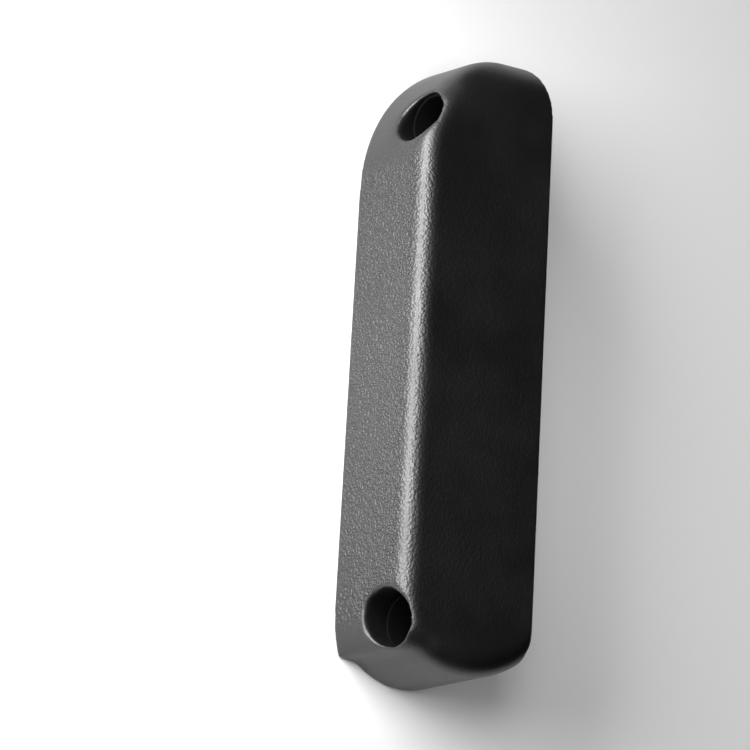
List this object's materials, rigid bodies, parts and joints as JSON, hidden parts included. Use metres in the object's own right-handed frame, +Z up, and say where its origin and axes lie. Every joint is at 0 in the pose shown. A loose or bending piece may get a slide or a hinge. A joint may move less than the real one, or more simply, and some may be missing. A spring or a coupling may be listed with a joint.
{
  "type": "chair armrest pad",
  "caption": "Side-mounted chair armrest pad: a grained soft moulding with a rounded nose, deep screw pockets and a stiff backing plate.",
  "frame": {"origin": "midway between the two screw holes, on the mounting face", "axes": "+X along the pad to its rear end, +Y out of the mounting face, +Z up to the arm-resting top"},
  "size_m": [0.2472, 0.0546, 0.0478],
  "materials": {
    "soft_skin": "black, fine leather-like grain, satin sheen",
    "plate_plastic": "black, matt, fine moulded texture",
    "pocket_plastic": "black, matt"
  },
  "bodies": {
    "root": {"pad_moulding": "soft_skin", "backing_plate": "plate_plastic", "front_screw_spacer": "pocket_plastic", "rear_screw_spacer": "pocket_plastic", "front_pocket_liner": "pocket_plastic", "rear_pocket_liner": "pocket_plastic"}
  },
  "joints": []
}
